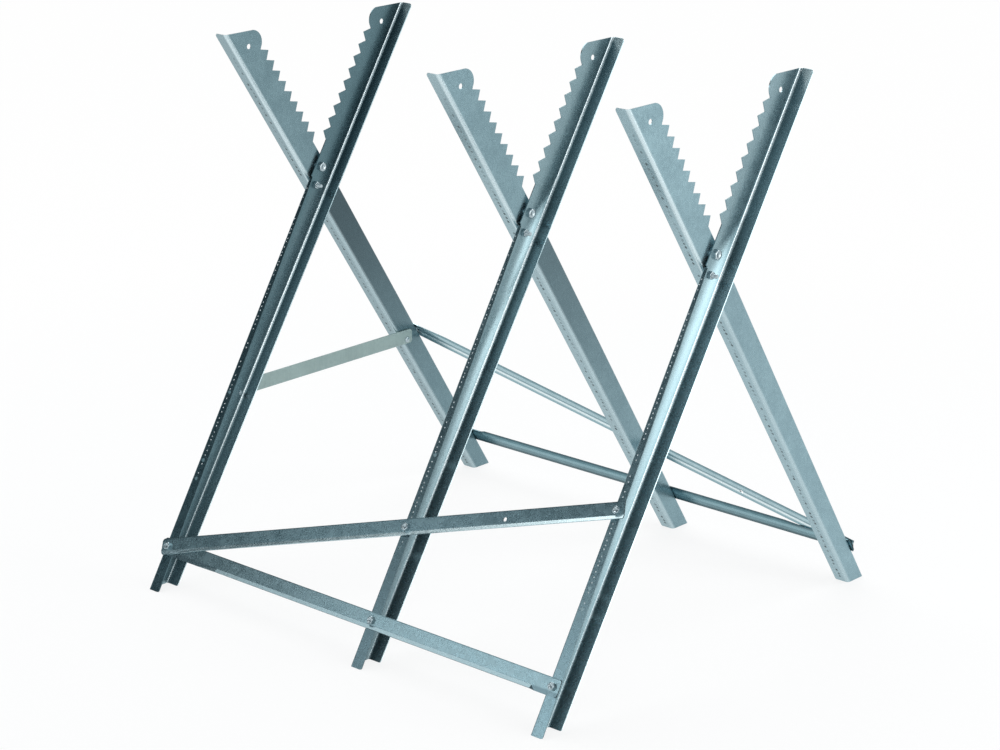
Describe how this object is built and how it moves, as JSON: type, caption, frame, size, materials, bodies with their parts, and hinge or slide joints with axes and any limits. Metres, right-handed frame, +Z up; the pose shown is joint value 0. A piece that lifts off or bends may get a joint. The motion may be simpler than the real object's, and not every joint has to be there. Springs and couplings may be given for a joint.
{
  "type": "log saw stand",
  "caption": "Folding saw stand of crossed folded-sheet legs whose toothed arms form V rests for a log, tied by angle braces and held open by a hooked strap.",
  "frame": {"origin": "on the floor, under the middle of the stand's box", "axes": "+X along the log, from the strapped frame to the other end; +Y across the log, towards the rear feet; +Z up"},
  "size_m": [0.81, 0.7458, 0.8],
  "materials": {
    "front_legs": "galvanised sheet with a soft spangle and a cool tint",
    "rear_legs": "galvanised sheet with a soft spangle and a cool tint",
    "front_braces": "galvanised folded strip",
    "rear_braces": "galvanised folded strip",
    "strap": "dull untinted steel strip",
    "hardware": "zinc plated"
  },
  "bodies": {
    "front_frame": {"front_leg_left": "front_legs", "front_leg_middle": "front_legs", "front_leg_right": "front_legs", "front_diagonal_brace": "front_braces", "front_lower_brace": "front_braces", "front_brace_bolts": "hardware", "front_brace_nuts": "hardware", "front_brace_washers": "hardware", "strap_stud": "hardware", "pivot_bolt_left": "hardware", "pivot_bolt_middle": "hardware", "pivot_bolt_right": "hardware", "pivot_nut_left": "hardware", "pivot_nut_middle": "hardware", "pivot_nut_right": "hardware", "pivot_spacer_left": "hardware", "pivot_spacer_middle": "hardware", "pivot_spacer_right": "hardware", "guide_bolt_left": "hardware", "guide_bolt_middle": "hardware", "guide_bolt_right": "hardware", "guide_nut_left": "hardware", "guide_nut_middle": "hardware", "guide_nut_right": "hardware"},
    "rear_frame": {"rear_leg_left": "rear_legs", "rear_leg_middle": "rear_legs", "rear_leg_right": "rear_legs", "rear_diagonal_brace": "rear_braces", "rear_lower_brace": "rear_braces", "rear_brace_bolts": "hardware", "rear_brace_nuts": "hardware", "rear_brace_washers": "hardware", "strap_rivet": "hardware"},
    "strap": {"spreader_strap": "strap"}
  },
  "joints": [
    {"name": "fold", "type": "hinge", "parent": "front_frame", "child": "rear_frame", "pos_m": [0, 0, 0.574], "axis": [-1, 0, 0], "range_deg": [0, 54]},
    {"name": "strap_swing", "type": "hinge", "parent": "rear_frame", "child": "strap", "pos_m": [-0.38, 0.18004, 0.25901], "axis": [-1, 0, 0], "range_deg": [0, 50]}
  ]
}
